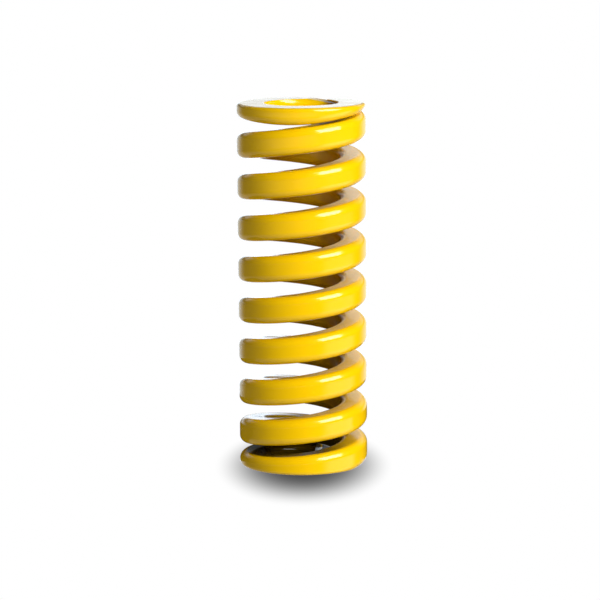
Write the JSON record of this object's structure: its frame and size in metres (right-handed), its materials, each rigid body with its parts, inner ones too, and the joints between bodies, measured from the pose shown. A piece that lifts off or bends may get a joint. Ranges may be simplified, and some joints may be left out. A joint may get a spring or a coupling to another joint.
{
  "type": "die spring",
  "caption": "Heavy compression spring wound from near-square bar, with closed, ground ends that seat it flat; it fits in a round pocket or over a guide rod.",
  "frame": {"origin": "centre of the lower ground end, on the spring's axis, at the level of the surface it stands on", "axes": "+Z along the spring's axis from the lower to the upper ground end; -Y towards the side the picture shows"},
  "size_m": [0.0314, 0.0314, 0.089],
  "materials": {
    "spring": "glossy yellow paint on spring steel"
  },
  "bodies": {
    "root": {"spring": "spring"}
  },
  "joints": []
}
